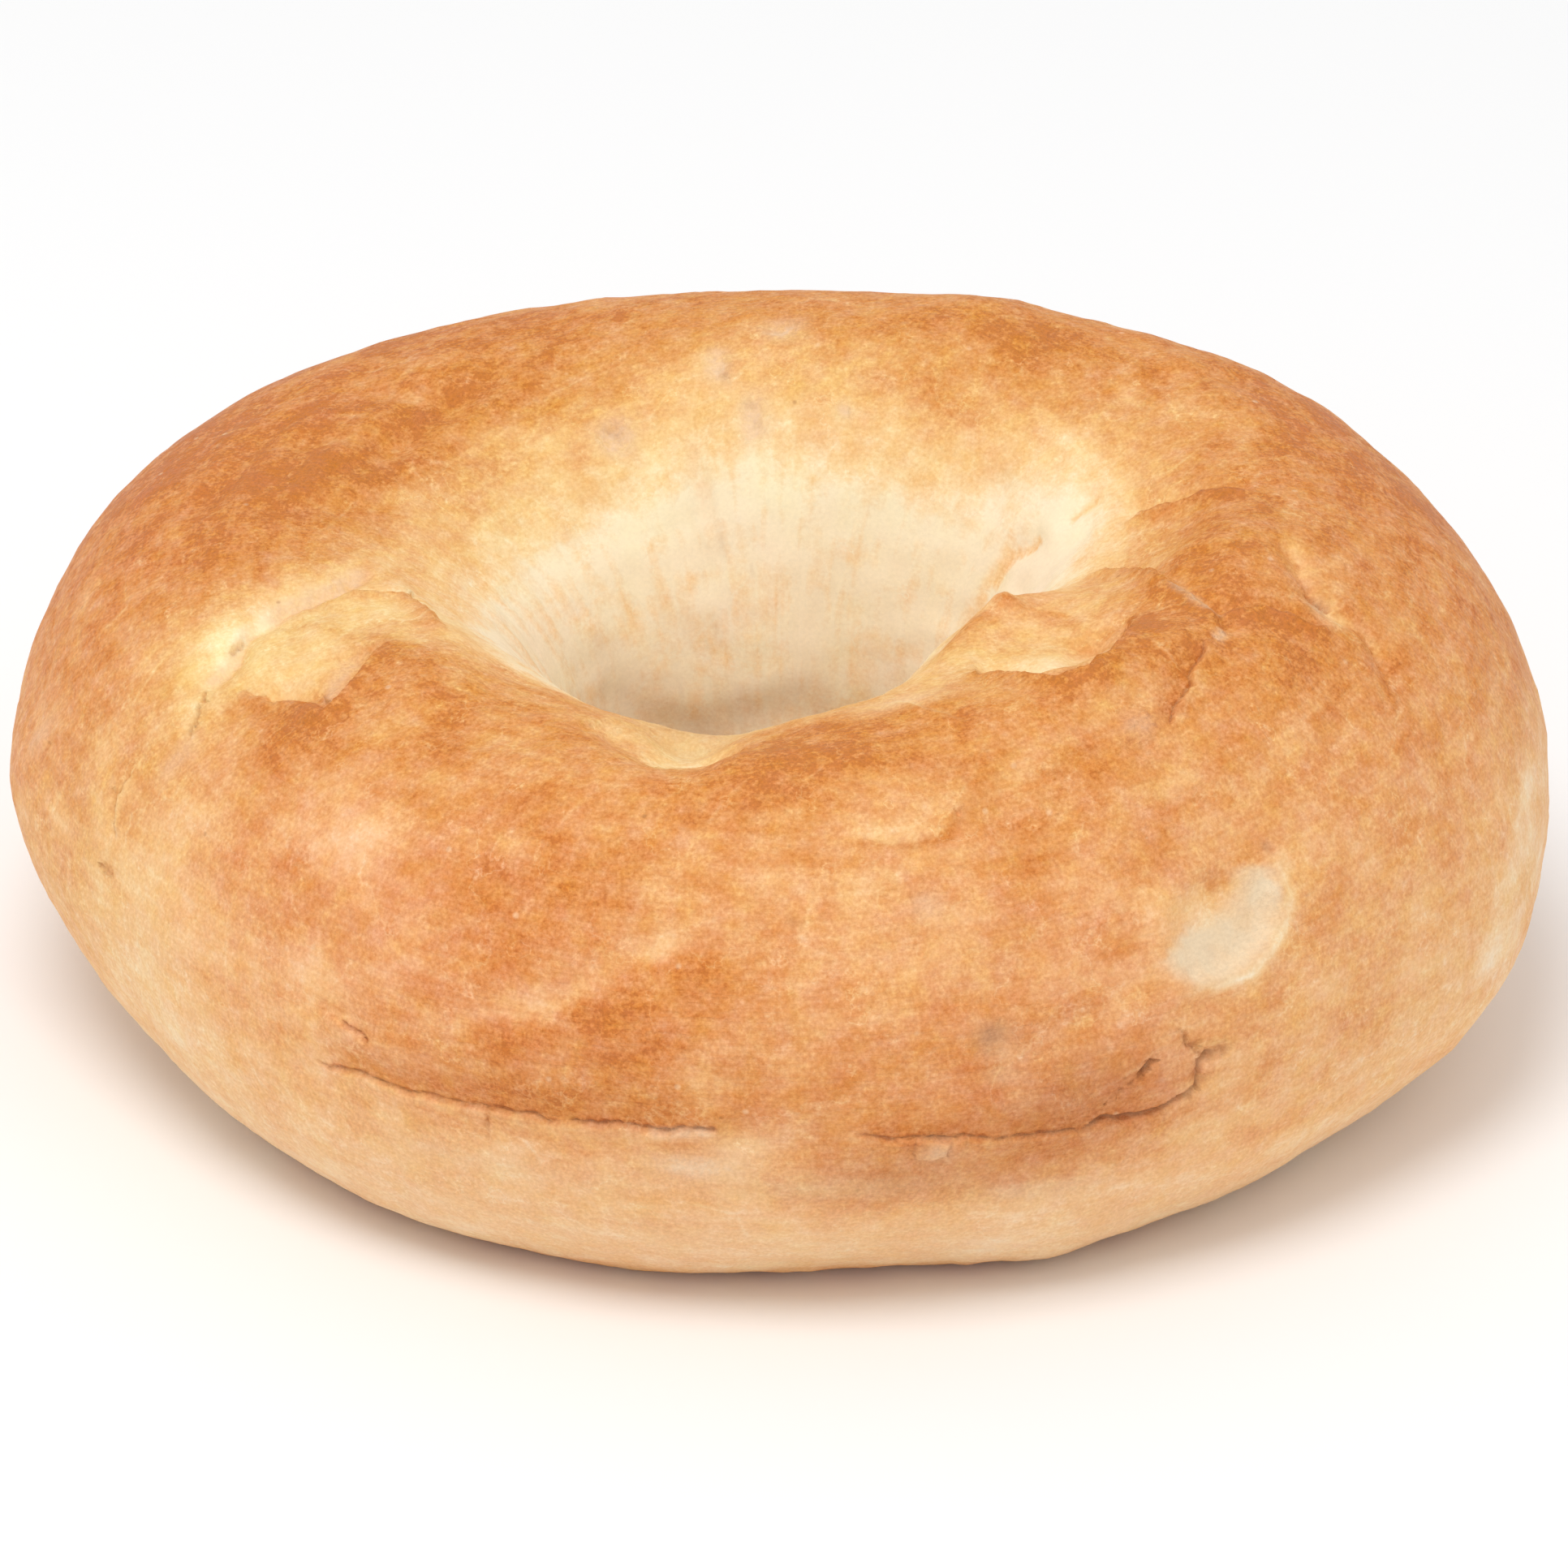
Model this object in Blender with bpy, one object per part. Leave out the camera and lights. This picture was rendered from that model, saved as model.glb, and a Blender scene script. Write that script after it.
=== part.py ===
"""A plain bagel: one rope of dough joined into a ring, boiled and baked as a single piece.

Metres, +Z up. The origin is the middle of the base, on the surface the bagel rests on.
Azimuths run anticlockwise from +X, seen from above. A rope angle runs round the rope's section:
0 is the outer side, 90 the top, 180 the wall of the hole and 270 the base.
"""

import math

import bmesh
import bpy
from mathutils import Matrix, Vector

MM = 0.001

# Driving dimensions
CENTRELINE_RADIUS = 33.8 * MM  # from the axis of the ring to the middle of the rope
ROPE_HALF_WIDTH = 20.4 * MM
ROPE_RISE = 22.2 * MM  # from the middle of the rope to its top
MIDDLE_HEIGHT = 18.9 * MM  # of the middle of the rope above the base
BASE_HALF_ANGLE = 27  # degrees of the rope's section, each side of 270, that lie flat

# How far the hand-rolled ring wanders: (lobes round the ring, amount in mm, azimuth of a peak in degrees)
CENTRELINE_LOBES = ((1, 1.0, 96), (2, 2.3, -14), (3, 1.8, 21))
WIDTH_LOBES = ((1, 1.5, 83), (2, 1.9, -26), (3, 0.6, -9))
RISE_LOBES = ((1, 3.2, 33), (2, 0.9, 84), (3, 0.4, -37))

# Lumps and hollows: azimuth and rope angle of the middle in degrees, half width along the ring,
# half width round the rope and height, all three in mm
LUMPS = (
    (150, 58, 24, 11, 1.3),  # back left shoulder
    (33, 62, 10, 8, 1.2),  # back right shoulder
    (62, 78, 6, 8, 0.8),
    (184, 2, 11, 7, 1.2),  # left heel of the outline
    (226, 316, 16, 9, 0.9),
    (278, 302, 12, 9, -0.7),
    (298, 312, 7, 8, 1.2),  # corner low on the front right
    (316, 328, 7, 8, 0.9),
    (339, 346, 9, 9, 1.3),  # right hip
    (326, 130, 7, 6, 2.4),  # lobe that folds into the hole on the right
    (319, 104, 6, 4, -1.5),  # valley behind that lobe
    (308, 84, 9, 4, 1.0),  # ridge outside the valley
    (205, 108, 7, 6, 0.9),  # left lip of the hole
    (196, 84, 8, 4, -1.6),  # groove of the front left fold
    (208, 62, 9, 4, -1.4),
    (212, 86, 9, 5, 0.9),  # brown lump inside the fold
    (261, 106, 5, 6, -1.4),  # notch in the front lip
    (346, 92, 10, 5, 1.2),  # ridge over the right side
    (352, 112, 9, 5, -1.2),
    (312, 38, 4, 4, -1.0),  # hollow of the big blister
)

RING_STEPS = 96
ROPE_STEPS = 40


def lobed(size, lobes, azimuth):
    """A size that swells and shrinks round the ring."""
    for count, amount, peak in lobes:
        size += amount * MM * math.cos(count * (azimuth - math.radians(peak)))
    return size


def degrees_apart(angle, middle):
    """The signed angle from a middle given in degrees, in radians and never more than half a turn."""
    return (angle - math.radians(middle) + math.pi) % (2 * math.pi) - math.pi

def lump_height(azimuth, turn):
    """How far the lumps and hollows push the crust out at one place."""
    total = 0.0
    for lump_azimuth, lump_turn, half_length, half_width, height in LUMPS:
        radius = CENTRELINE_RADIUS + ROPE_HALF_WIDTH * math.cos(math.radians(lump_turn))
        along = degrees_apart(azimuth, lump_azimuth) * radius / (half_length * MM)
        across = degrees_apart(turn, lump_turn) * ROPE_HALF_WIDTH / (half_width * MM)
        total += height * MM * math.exp(-(along**2) - across**2)
    return total

def rope_point(azimuth, turn):
    """The crust at one place on the rope. The base is cut off flat at the height of the origin."""
    bulge = lump_height(azimuth, turn)
    across = lobed(ROPE_HALF_WIDTH, WIDTH_LOBES, azimuth) * math.cos(turn)
    if math.sin(turn) > 0:
        up = lobed(ROPE_RISE, RISE_LOBES, azimuth) * math.sin(turn)
    else:
        up = MIDDLE_HEIGHT * math.sin(turn) / math.cos(math.radians(BASE_HALF_ANGLE))
    radius = lobed(CENTRELINE_RADIUS, CENTRELINE_LOBES, azimuth) + across + bulge * math.cos(turn)
    height = max(MIDDLE_HEIGHT + up + bulge * math.sin(turn), 0.0)
    return Vector((radius * math.cos(azimuth), radius * math.sin(azimuth), height))


def spun_ring():
    """A round rope spun into a closed ring, as quads in RING_STEPS by ROPE_STEPS."""
    ring = bmesh.new()
    stand_up = Matrix.Translation((CENTRELINE_RADIUS, 0, 0)) @ Matrix.Rotation(math.pi / 2, 4, "X")
    bmesh.ops.create_circle(ring, segments=ROPE_STEPS, radius=ROPE_HALF_WIDTH, matrix=stand_up)
    bmesh.ops.spin(
        ring,
        geom=ring.verts[:] + ring.edges[:],
        cent=(0, 0, 0),
        axis=(0, 0, 1),
        angle=2 * math.pi,
        steps=RING_STEPS,
        use_merge=True,
    )
    bmesh.ops.remove_doubles(ring, verts=ring.verts[:], dist=0.01 * MM)
    return ring


def shape(ring):
    """Pulls the round ring to the bagel's own form."""
    for vert in ring.verts:
        azimuth = math.atan2(vert.co.y, vert.co.x)
        turn = math.atan2(vert.co.z, math.hypot(vert.co.x, vert.co.y) - CENTRELINE_RADIUS)
        vert.co = rope_point(azimuth, turn)
    bmesh.ops.recalc_face_normals(ring, faces=ring.faces[:])

def centre(ring):
    """Slides the ring sideways until its outline is centred over the origin."""
    across = [vert.co.x for vert in ring.verts]
    along = [vert.co.y for vert in ring.verts]
    middle = Vector((min(across) + max(across), min(along) + max(along), 0)) / 2
    bmesh.ops.translate(ring, verts=ring.verts[:], vec=-middle)


def crust_material():
    material = bpy.data.materials.new("crust")
    material.use_nodes = True
    shader = material.node_tree.nodes["Principled BSDF"]
    shader.inputs["Base Color"].default_value = (0.78, 0.38, 0.13, 1)
    shader.inputs["Roughness"].default_value = 0.6
    shader.inputs["Metallic"].default_value = 0.0
    return material


def make_bagel():
    ring = spun_ring()
    shape(ring)
    centre(ring)
    mesh = bpy.data.meshes.new("bagel")
    ring.to_mesh(mesh)
    ring.free()
    mesh.shade_smooth()
    mesh.materials.append(crust_material())
    bagel = bpy.data.objects.new("bagel", mesh)
    bpy.context.scene.collection.objects.link(bagel)


for leftover in list(bpy.data.objects):
    bpy.data.objects.remove(leftover)
make_bagel()
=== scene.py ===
"""The crust of a plain bagel: folds, cracks, blisters and a mottled bake over the solid ring of dough.

Places on the crust are given by azimuth and turn, in degrees. Azimuth runs anticlockwise round the ring
from +X, seen from above. Turn runs round the rope of dough: 0 is the outer side, 90 the top, 180 the wall
of the hole and 270 the base. Lengths are in millimetres until the finished crust is scaled to metres.
"""

import math

import bmesh
import bpy
import numpy as np
from mathutils import Matrix, Vector, noise
from mathutils.bvhtree import BVHTree


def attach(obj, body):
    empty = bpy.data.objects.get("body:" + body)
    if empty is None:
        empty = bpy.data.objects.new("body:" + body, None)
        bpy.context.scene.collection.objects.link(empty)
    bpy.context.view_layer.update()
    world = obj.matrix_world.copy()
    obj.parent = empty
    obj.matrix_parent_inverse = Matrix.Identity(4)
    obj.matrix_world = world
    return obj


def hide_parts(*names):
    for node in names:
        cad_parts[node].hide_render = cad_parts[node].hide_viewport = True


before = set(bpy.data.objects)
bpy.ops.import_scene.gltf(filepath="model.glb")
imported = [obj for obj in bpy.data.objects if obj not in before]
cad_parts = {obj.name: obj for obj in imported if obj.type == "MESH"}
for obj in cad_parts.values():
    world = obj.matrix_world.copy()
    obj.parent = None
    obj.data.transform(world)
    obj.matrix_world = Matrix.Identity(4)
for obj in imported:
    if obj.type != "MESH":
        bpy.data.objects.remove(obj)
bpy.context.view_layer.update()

MM = 0.001

# The rope of dough
RING_AXIS = Vector((-0.7, -1.7, 0))
ROPE_MIDDLE_RADIUS = 33.8
ROPE_MIDDLE_HEIGHT = 18.9
RING_STEPS = 384
ROPE_STEPS = 176
FRONT_CROWDING = 0.25  # how much closer the steps are at the front of the ring than at the back
TOP_CROWDING = 0.35  # how much closer they are on the top of the rope than on the base
LEDGE_REFINED = 1.4  # how far from a step the quads are split
CRACK_REFINED = 0.8

# The unevenness of the skin
BUMP_HEIGHT = 0.22
DIMPLE_HEIGHT = 0.07
ROLLED_STREAK_HEIGHT = 0.06
WRINKLE_HEIGHT = 0.035
STRAND_HEIGHT = 0.1
STRAND_TOAST = 0.07
STRAND_MIDDLE = 148  # turn at which the hanging strands are strongest
STRAND_SPREAD = 46
LEDGE_RISE = 0.35  # width of the step itself
BASE_HEIGHT = 0.5  # below this the crust rests on its base and stays nearly flat
BASE_UNEVENNESS = 0.2

# Lines that several lists below follow: places (azimuth, turn). Turns just under the outer side are written
# below zero and azimuths just past +X above 360, so that a line never jumps round.
LEFT_FOLD = ((179, 103), (184, 95), (186, 88), (187, 82), (190, 76), (192, 71), (195, 67), (196.5, 63), (198, 58))
LEFT_SPLIT = ((198, 58), (199, 56), (201, 52), (202.2, 48))
LEFT_CREST = ((186, 96), (187, 102), (188, 110), (195, 113), (207, 111))
POCKET_FOOT = ((200, 64), (203, 67), (207, 73.5), (210.5, 75.5), (213.5, 76), (213, 80), (211, 86), (207, 97))
LOBE_CREST = ((310, 126), (314, 124.5), (321, 122.5), (325.6, 121.2), (327.6, 114), (327.4, 106.5))
LOBE_FOOT = ((303.5, 108), (305, 96), (307, 89.5), (311, 88), (315, 88.5), (323, 93), (328, 98))
RIGHT_SHEET = ((354, 116), (345, 104), (338, 96.5), (334.4, 91), (333, 87), (331, 82), (329, 79.6), (326, 80.3))
RIGHT_SPLIT = ((326, 80.3), (323, 78.2), (320.5, 76.5), (319, 74.8), (316, 73.3), (314, 71.5))
RIGHT_ARCH = ((331, 84), (333.4, 81.2), (336, 77.3), (337, 73), (338, 68), (339, 65.5))
UPPER_SHEET = ((368, 109), (368.5, 105), (367, 100), (366, 98), (365, 92), (363, 84))
RIGHT_CREASE = ((350, 79), (346, 74.5), (343, 71), (342, 66), (342.6, 60), (341.6, 56), (340, 52), (338, 49.5))
FRONT_SPLIT = ((229, -8), (233, -6), (237, -6), (240, -7), (243, -6), (247, -5), (250, -5), (253, -5))
FRONT_SPLIT_END = ((253, -5), (257, -4), (260, -4), (263, -4), (266, -3))
RIGHT_LOW_SPLIT = ((277, -4), (280, -6), (283, -7), (287, -8), (289, -9), (291, -9), (294, -9), (296, -10))
RIGHT_LOW_TEAR = ((296, -10), (298, -8), (301, -10), (304, -8), (306, -5), (306, -3), (306, 1), (307, 3), (309, 3))
PALE_BAND = ((243, 18), (245, 20), (249, 23), (252.5, 27.5), (255.5, 36.5), (260, 42), (264.5, 46))
HOLE_LIP = ((141, 154), (146, 167), (130, 175), (117, 179), (102, 174), (86, 171), (72, 171.5), (63, 175))
BLISTER_EDGE = ((316, 42), (315.6, 34.5), (314.5, 27), (313, 24), (311, 21.4), (308.5, 20.5), (306, 22), (304, 24))
BLISTER_FILM = ((315, 39), (314, 33), (312, 28), (309.5, 25), (306.6, 25.5), (305.5, 31))
DISC_EDGE = ((277, 67), (280.4, 64.4), (284, 63.3), (288, 65.6), (289.5, 68))
FLAKE = ((282, -7), (282, -13.4), (284.8, -13), (285, -8), (282, -7))

# Broad folds and swellings: azimuth, turn, half length along the ring, half width round the rope, height
SWELLINGS = (
    (320, 122, 7.0, 1.6, 0.9),  # crest of the lobe that hangs into the hole
    (325.6, 121, 1.0, 1.1, 0.9),
    (315, 84, 8.0, 2.4, 0.8),  # ridge outside it
    (325, 86, 4.0, 3.0, 0.4),
    (318, 68, 9.0, 5.0, 0.4),
    (300, 74.5, 1.6, 1.2, 0.35),
    (311, 73.3, 1.6, 1.0, 0.35),
    (216, 100, 5.0, 4.0, 0.8),  # lump beside the left fold
    (213, 67, 5.5, 3.5, 0.8),
    (197, 112, 7.0, 1.6, 0.6),
    (197, 88, 4.0, 1.6, 0.5),
    (243, 74, 14.0, 6.0, 0.4),
    (273, 84, 9.0, 3.5, 0.6),
    (284, 73, 3.6, 2.0, 0.3),
    (232, 30, 12.0, 8.0, 0.3),
    (258, 22, 14.0, 4.0, 0.4),
    (298, 4, 12.0, 4.0, 0.5),
    (233, 3, 4.5, 2.0, 0.5),
    (345, 88, 6.0, 4.0, 0.7),
    (332, 71, 5.0, 4.0, 0.6),
    (4, 92, 6.0, 3.0, 0.4),
    (183, 8, 5.0, 4.0, 0.5),
    (62, 86, 6.0, 4.0, 0.3),
    (150, 82, 16.0, 1.8, 0.45),
    (140, 95, 14.0, 1.6, 0.4),
    (160, 70, 14.0, 1.6, 0.35),
    (30, 80, 9.0, 1.8, 0.4),
)

# Soft valleys: path, half width, depth
VALLEYS = (
    (LEFT_FOLD, 1.3, 0.8),
    (((203, 70), (208, 77), (209, 86), (204, 93)), 1.8, 0.8),
    (((190, 93), (191, 86), (193, 80)), 1.2, 0.4),
    (((245, 106), (251, 98), (257, 91), (261, 90), (264, 104)), 1.8, 0.9),
    (((260, 114), (259, 104), (259, 95)), 2.2, 0.8),
    (((305, 110), (309, 101), (314, 97), (320, 100), (325, 104)), 1.7, 1.3),
    (RIGHT_CREASE, 1.1, 0.6),
    (((346, 92), (340, 90), (336, 88)), 1.2, 0.4),
    (((21, 124), (27, 132), (28, 141), (28, 155)), 1.1, 0.8),
    (((18, 110), (19, 120)), 0.7, 0.5),
    (((38, 118), (37, 135), (39, 155)), 1.6, 0.5),
    (((12, 115), (14, 130), (18, 140)), 1.3, 0.5),
    (PALE_BAND, 1.3, 0.45),
    (((288, 5), (291, 12), (294, 16), (300, 20)), 1.4, 0.35),
    (((266, -3), (270, -7), (276, -5)), 1.5, 0.35),
    (((156, 90), (148, 90), (138, 91), (126, 90)), 1.2, 0.45),
    (((168, 62), (158, 64), (146, 66)), 1.2, 0.35),
    (((296, 75), (293, 66), (295, 58), (300, 50)), 1.6, 0.35),
    (((222, 84), (232, 88), (243, 90)), 1.6, 0.3),
    (((256, 116), (256, 104), (259, 92)), 2.4, 0.9),
    (((169, 74), (163, 90), (156, 102)), 1.3, 0.4),
    (((156, 65), (150, 79), (145, 95)), 1.4, 0.3),
    (((141, 74), (136, 87), (136, 97)), 1.4, 0.3),
    (((33, 98), (33, 84), (28, 71)), 1.5, 0.35),
    (((144, 166), (131, 181), (117, 185), (102, 180), (86, 177), (72, 178), (62, 180)), 2.0, 0.5),
)

# Steps where one sheet of dough laps another: path, how far the raised side spreads, height of the step.
# The raised side is on the left when walking along the path, seen from outside.
LEDGES = (
    (FRONT_SPLIT_END[::-1] + FRONT_SPLIT[-2::-1], 3.0, 0.5),
    (RIGHT_LOW_TEAR[:4][::-1] + RIGHT_LOW_SPLIT[-2::-1], 3.0, 0.45),
    (LEFT_FOLD[::-1], 2.5, 0.75),
    (LEFT_CREST[::-1], 1.6, 0.65),
    (POCKET_FOOT[::-1], 2.2, 0.85),
    (LOBE_FOOT[::-1], 2.2, 1.15),
    (RIGHT_SHEET[::-1], 2.4, 1.0),
    (RIGHT_SPLIT, 1.7, 0.6),
    (RIGHT_ARCH[::-1], 2.0, 0.8),
    (UPPER_SHEET[::-1], 2.5, 0.9),
    (RIGHT_CREASE, 1.8, 0.4),
    (((308.4, 72.6), (310, 70.4), (311.5, 69.7)), 1.0, 0.4),
    (((298.5, 73), (300.2, 71)), 1.0, 0.35),
    (((294, 88), (291, 97), (289, 105)), 1.6, 0.5),
    (DISC_EDGE, 1.8, 0.35),
    (BLISTER_EDGE, 2.4, 0.45),
    (FLAKE, 0.8, 0.35),
    (((235, 5), (233, 8), (230, 9)), 1.5, 0.4),
    (((184, 13), (186, 20), (189, 26)), 1.2, 0.35),
    (((199, 33), (199, 27), (200.5, 18)), 1.2, 0.35),
    (((285, -14), (286, -9), (282, -8)), 1.2, 0.3),
)

# Open cracks: path, half width, depth
CRACKS = (
    (FRONT_SPLIT, 0.2, 0.45),
    (FRONT_SPLIT_END, 0.26, 0.55),
    (RIGHT_LOW_SPLIT, 0.18, 0.4),
    (FLAKE, 0.13, 0.2),
    (RIGHT_LOW_TEAR, 0.3, 0.8),
    (((304.5, 11), (305, 7), (306, 4)), 0.18, 0.5),
    (((298, -4), (299, -1), (300.5, 2)), 0.15, 0.3),
    (((300.5, 2), (301.6, 5)), 0.32, 0.9),
    (((232, 8), (234.5, 6), (235, 5)), 0.18, 0.4),
    (((246.5, -6), (246, -11), (246, -16)), 0.14, 0.2),
    (RIGHT_SPLIT, 0.17, 0.5),
    (((343, 72), (342.7, 69.5), (342.3, 66.7)), 0.24, 0.6),
    (LEFT_SPLIT, 0.2, 0.5),
    (((192, 71.4), (194, 67.3)), 0.2, 0.35),
    (((199, 32.5), (199.1, 26.7), (200.5, 18)), 0.14, 0.3),
    (((199.3, 9.6), (201.5, 9.4)), 0.2, 0.45),
    (((186, 19), (186.5, 14)), 0.22, 0.4),
)

# Hollows left by blisters that sank or burst: azimuth, turn, half length, half width, depth, height of the rim
BLISTERS = (
    (310, 30.5, 4.6, 3.6, 0.8, 0.15),
    (284, 50.4, 1.0, 0.8, 0.2, 0.15),
    (272.4, 49, 0.5, 0.4, 0.25, 0.1),
    (289, 18, 1.3, 1.0, 0.35, 0.1),
    (289, 68.5, 0.35, 0.35, 0.4, 0.05),
    (119.5, 117.5, 1.3, 1.3, 0.4, 0.2),
    (99, 109.5, 0.8, 1.6, 0.3, 0.12),
    (93.5, 122.5, 1.0, 1.8, 0.4, 0.15),
    (74, 121, 0.5, 0.6, 0.3, 0.1),
    (107, 134, 0.8, 3.5, 0.25, 0.1),
    (88, 103, 1.4, 1.0, 0.3, 0.12),
)


def rope_direction(azimuth, turn):
    """The middle of the rope at an azimuth, and the way that a turn points from it."""
    out = Vector((math.cos(azimuth), math.sin(azimuth), 0))
    middle = RING_AXIS + out * ROPE_MIDDLE_RADIUS + Vector((0, 0, ROPE_MIDDLE_HEIGHT))
    return middle, out * math.cos(turn) + Vector((0, 0, math.sin(turn)))


def spun_rope():
    """A round rope of dough spun into a closed ring of quads."""
    crust = bmesh.new()
    stand_up = Matrix.Translation((ROPE_MIDDLE_RADIUS, 0, 0)) @ Matrix.Rotation(math.pi / 2, 4, "X")
    bmesh.ops.create_circle(crust, segments=ROPE_STEPS, radius=15, matrix=stand_up)
    bmesh.ops.spin(
        crust,
        geom=crust.verts[:] + crust.edges[:],
        cent=(0, 0, 0),
        axis=(0, 0, 1),
        angle=2 * math.pi,
        steps=RING_STEPS,
        use_merge=True,
    )
    bmesh.ops.remove_doubles(crust, verts=crust.verts[:], dist=0.01)
    return crust


def drape(crust, solid):
    """Lays the rope's crust on the solid ring of dough and smooths the solid's flat facets away."""
    for vert in crust.verts:
        azimuth = math.atan2(vert.co.y, vert.co.x)
        turn = math.atan2(vert.co.z, math.hypot(vert.co.x, vert.co.y) - ROPE_MIDDLE_RADIUS)
        azimuth -= FRONT_CROWDING * math.cos(azimuth)
        turn += TOP_CROWDING * math.cos(turn)
        middle, outward = rope_direction(azimuth, turn)
        vert.co = solid.ray_cast(middle, outward)[0]
    for _ in range(10):
        bmesh.ops.smooth_vert(
            crust, verts=crust.verts[:], factor=0.5, use_axis_x=True, use_axis_y=True, use_axis_z=True
        )
    for vert in crust.verts:
        vert.co.z = max(vert.co.z, 0.0)
    bmesh.ops.recalc_face_normals(crust, faces=crust.faces[:])
    crust.normal_update()


class Crust:
    """The crust's points as arrays, with the features worked into them."""

    def __init__(self, mesh):
        self.mesh = mesh
        self.tree = BVHTree.FromBMesh(mesh)
        self.measure()

    def measure(self):
        """Reads the points, normals, azimuths and turns from the mesh."""
        self.mesh.verts.ensure_lookup_table()
        self.points = np.array([vert.co for vert in self.mesh.verts])
        self.normals = np.array([vert.normal for vert in self.mesh.verts])
        across = self.points - np.array(RING_AXIS)
        self.azimuth = np.degrees(np.arctan2(across[:, 1], across[:, 0])) % 360
        radius = np.hypot(across[:, 0], across[:, 1]) - ROPE_MIDDLE_RADIUS
        self.turn = np.degrees(np.arctan2(across[:, 2] - ROPE_MIDDLE_HEIGHT, radius)) % 360
        self.lift = np.zeros(len(self.points))

    def spot(self, azimuth, turn):
        """The point of the crust at an azimuth and turn."""
        middle, outward = rope_direction(math.radians(azimuth), math.radians(turn))
        return np.array(self.tree.ray_cast(middle, outward)[0])

    def line(self, path, step=1.5):
        """Points along a path on the crust, under a millimetre apart, straying a little as torn dough does."""
        places = [path[0]]
        for start, end in zip(path, path[1:]):
            pieces = max(2, round(math.dist(start, end) / step))
            for piece in range(1, pieces + 1):
                places.append([a + (b - a) * piece / pieces for a, b in zip(start, end)])
        corners = []
        for azimuth, turn in places:
            stray = noise.noise_vector(Vector((azimuth * 0.9, turn * 0.5, 3.0)))
            corners.append(self.spot(azimuth + 0.5 * stray.x, turn + 1.6 * stray.y))
        return np.array(corners)

    def along(self, path, reach):
        """For the points within reach of a path: their indices, distance, signed side and share of the way."""
        line = self.line(path)
        low = line.min(axis=0) - reach
        high = line.max(axis=0) + reach
        near = np.nonzero(np.all((self.points > low) & (self.points < high), axis=1))[0]
        points = self.points[near]
        normals = self.normals[near]
        best = np.full(len(near), 1e9)
        side = np.zeros(len(near))
        share = np.zeros(len(near))
        pieces = len(line) - 1
        for number in range(pieces):
            start = line[number]
            run = line[number + 1] - start
            part = np.clip((points - start) @ run / (run @ run), 0, 1)
            gap = points - start - part[:, None] * run
            distance = np.linalg.norm(gap, axis=1)
            closer = distance < best
            best[closer] = distance[closer]
            left = np.cross(normals[closer], run)
            side[closer] = np.sign(np.einsum("ij,ij->i", left, gap[closer]))
            share[closer] = (number + part[closer]) / pieces
        inside = best < reach
        return near[inside], best[inside], side[inside], share[inside]

    def around(self, azimuth, turn, half_length, half_width):
        """How many half sizes each point is from a spot, along the ring and round the rope."""
        centre = self.spot(azimuth, turn)
        angle = math.radians(azimuth)
        forward = np.array((-math.sin(angle), math.cos(angle), 0))
        middle, outward = rope_direction(angle, math.radians(turn))
        upward = np.cross(np.array(outward), forward)
        gap = self.points - centre
        first = gap @ forward / half_length
        second = gap @ upward / half_width
        depth = gap @ np.array(outward) / max(half_length, half_width)
        return np.sqrt(first**2 + second**2 + depth**2)


def fade(values):
    """1 at 0, falling smoothly to 0 at 1 and beyond."""
    share = np.clip(1 - values, 0, 1)
    return share * share * (3 - 2 * share)


def ends(share, length=0.12):
    """Tapers a feature off towards both ends of its path."""
    return np.clip(np.minimum(share, 1 - share) / length, 0, 1) ** 0.7


def refine(crust):
    """Splits the quads beside the steps and the open cracks so that their edges are crisp."""
    mesh = crust.mesh
    for features, reach in ((LEDGES, LEDGE_REFINED), (CRACKS, CRACK_REFINED)):
        chosen = np.zeros(len(crust.points), dtype=bool)
        for path, *sizes in features:
            near, distance, side, share = crust.along(path, reach)
            chosen[near] = True
        edges = [edge for edge in mesh.edges if chosen[edge.verts[0].index] and chosen[edge.verts[1].index]]
        bmesh.ops.subdivide_edges(mesh, edges=edges, cuts=1, use_grid_fill=True)
        mesh.verts.index_update()
        mesh.normal_update()
        crust.measure()


def layered_noise(place):
    """Three layers of noise, each half the size of the one before."""
    return noise.fractal(place, 0.9, 2.0, 3)


def noise_over(crust, scale, seed):
    """A noise value at each point of the crust. Scale is the size of its blotches."""
    shift = Vector((seed * 17.3, seed * -9.1, seed * 5.7))
    values = np.empty(len(crust.points))
    for index, point in enumerate(crust.points):
        values[index] = layered_noise(Vector(point) / scale + shift)
    return values


def fibres_over(crust, along, across, seed):
    """Noise drawn out along the ring: the streaks of the rolled dough."""
    angle = np.radians(crust.azimuth)
    reach = 50 / along
    turns = (crust.turn + 90) % 360
    values = np.empty(len(crust.points))
    for index in range(len(values)):
        place = Vector(
            (math.cos(angle[index]) * reach + seed, math.sin(angle[index]) * reach, turns[index] * 0.36 / across)
        )
        values[index] = layered_noise(place)
    return values


def hanging_strands(crust):
    """Streaks where the dough stretched as it was drawn down through the hole."""
    inside = fade(np.abs(crust.turn - STRAND_MIDDLE) / STRAND_SPREAD)
    return inside * fibres_over(crust, 2.2, 9.0, 9)


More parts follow.
